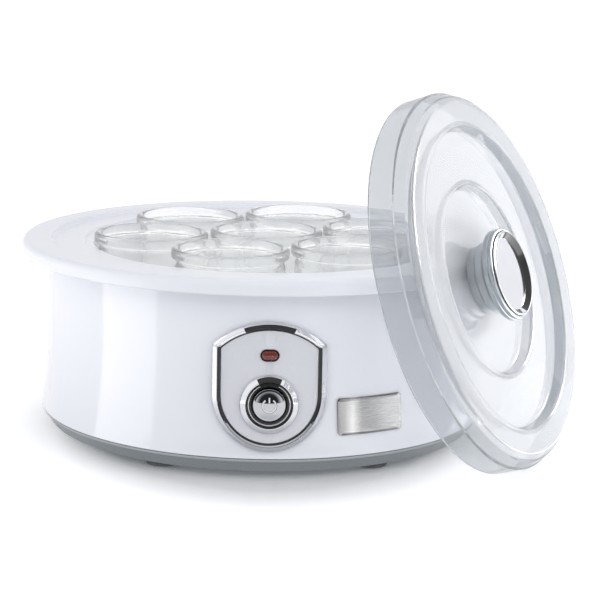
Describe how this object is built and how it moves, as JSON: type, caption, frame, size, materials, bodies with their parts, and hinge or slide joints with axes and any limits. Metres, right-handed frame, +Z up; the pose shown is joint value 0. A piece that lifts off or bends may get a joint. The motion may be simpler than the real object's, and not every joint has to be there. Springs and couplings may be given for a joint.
{
  "type": "yogurt maker",
  "caption": "Round electric yogurt maker: glass jars in a heated white tub, chrome-framed panel with push button and lamp, and a clear lid with a knob leaning on the rim.",
  "frame": {"origin": "on the tub's axis, in the middle of the base plate, level with the feet", "axes": "+Z up, -Y towards the control panel, +X to the right as seen from the front"},
  "size_m": [0.2821, 0.2947, 0.1773],
  "materials": {
    "white_gloss": "gloss",
    "grey_base": "satin",
    "rubber": "matte",
    "chrome": "polished",
    "panel_satin": "satin",
    "red_lens": "gloss",
    "label_metal": "brushed",
    "clear_lid": "clear gloss",
    "knob_grey": "metallic gloss",
    "jar_glass": "clear",
    "steel": "plain",
    "aluminium": "satin",
    "black_plastic": "satin",
    "board": "satin",
    "wire_brown": "satin",
    "wire_blue": "satin",
    "insulation": "matt"
  },
  "bodies": {
    "base": {"inner_tub": "white_gloss", "outer_shell": "white_gloss", "base_cover": "grey_base", "foot_1": "rubber", "foot_2": "rubber", "foot_3": "rubber", "foot_4": "rubber", "base_screw_1": "steel", "base_screw_2": "steel", "base_screw_3": "steel", "base_screw_4": "steel", "heater_plate": "aluminium", "heating_element": "steel", "heater_strap": "steel", "strap_screw_1": "steel", "strap_screw_2": "steel", "thermostat": "black_plastic", "thermal_fuse": "label_metal", "heat_shield": "insulation", "terminal_block": "black_plastic", "strain_relief": "black_plastic", "wire_live": "wire_brown", "wire_switched": "wire_brown", "wire_neutral": "wire_blue", "panel_bezel": "chrome", "panel_plate": "panel_satin", "lamp_lens": "red_lens", "button_ring": "chrome", "switch_body": "black_plastic", "circuit_board": "board", "board_screw_1": "steel", "board_screw_2": "steel", "neon_lamp": "red_lens", "label_plate": "label_metal"},
    "button_body": {"button_cap": "chrome", "button_plunger": "black_plastic", "button_spring": "steel"},
    "lid_body": {"lid": "clear_lid", "lid_knob": "knob_grey", "knob_disc": "chrome", "knob_screw": "steel"},
    "jar_body_1": {"jar_1": "jar_glass"},
    "jar_body_2": {"jar_2": "jar_glass"},
    "jar_body_3": {"jar_3": "jar_glass"},
    "jar_body_4": {"jar_4": "jar_glass"},
    "jar_body_5": {"jar_5": "jar_glass"},
    "jar_body_6": {"jar_6": "jar_glass"},
    "jar_body_7": {"jar_7": "jar_glass"}
  },
  "joints": [
    {"name": "lid_lift", "type": "slide", "parent": "base", "child": "lid_body", "axis": [0.4373, -0.2424, 0.866], "range_m": [0, 0.12]},
    {"name": "power_press", "type": "slide", "parent": "base", "child": "button_body", "axis": [0, 0.9988, -0.049], "range_m": [0, 0.002], "stiffness_N_per_m": 400, "springref_m": -0.001, "deforming": ["button_spring"]},
    {"name": "jar_1_lift", "type": "slide", "parent": "base", "child": "jar_body_1", "axis": [0, 0, 1], "range_m": [0, 0.072]},
    {"name": "jar_2_lift", "type": "slide", "parent": "base", "child": "jar_body_2", "axis": [0, 0, 1], "range_m": [0, 0.062]},
    {"name": "jar_3_lift", "type": "slide", "parent": "base", "child": "jar_body_3", "axis": [0, 0, 1], "range_m": [0, 0.072]},
    {"name": "jar_4_lift", "type": "slide", "parent": "base", "child": "jar_body_4", "axis": [0, 0, 1], "range_m": [0, 0.072]},
    {"name": "jar_5_lift", "type": "slide", "parent": "base", "child": "jar_body_5", "axis": [0, 0, 1], "range_m": [0, 0.072]},
    {"name": "jar_6_lift", "type": "slide", "parent": "base", "child": "jar_body_6", "axis": [0, 0, 1], "range_m": [0, 0.072]},
    {"name": "jar_7_lift", "type": "slide", "parent": "base", "child": "jar_body_7", "axis": [0, 0, 1], "range_m": [0, 0.072]}
  ]
}
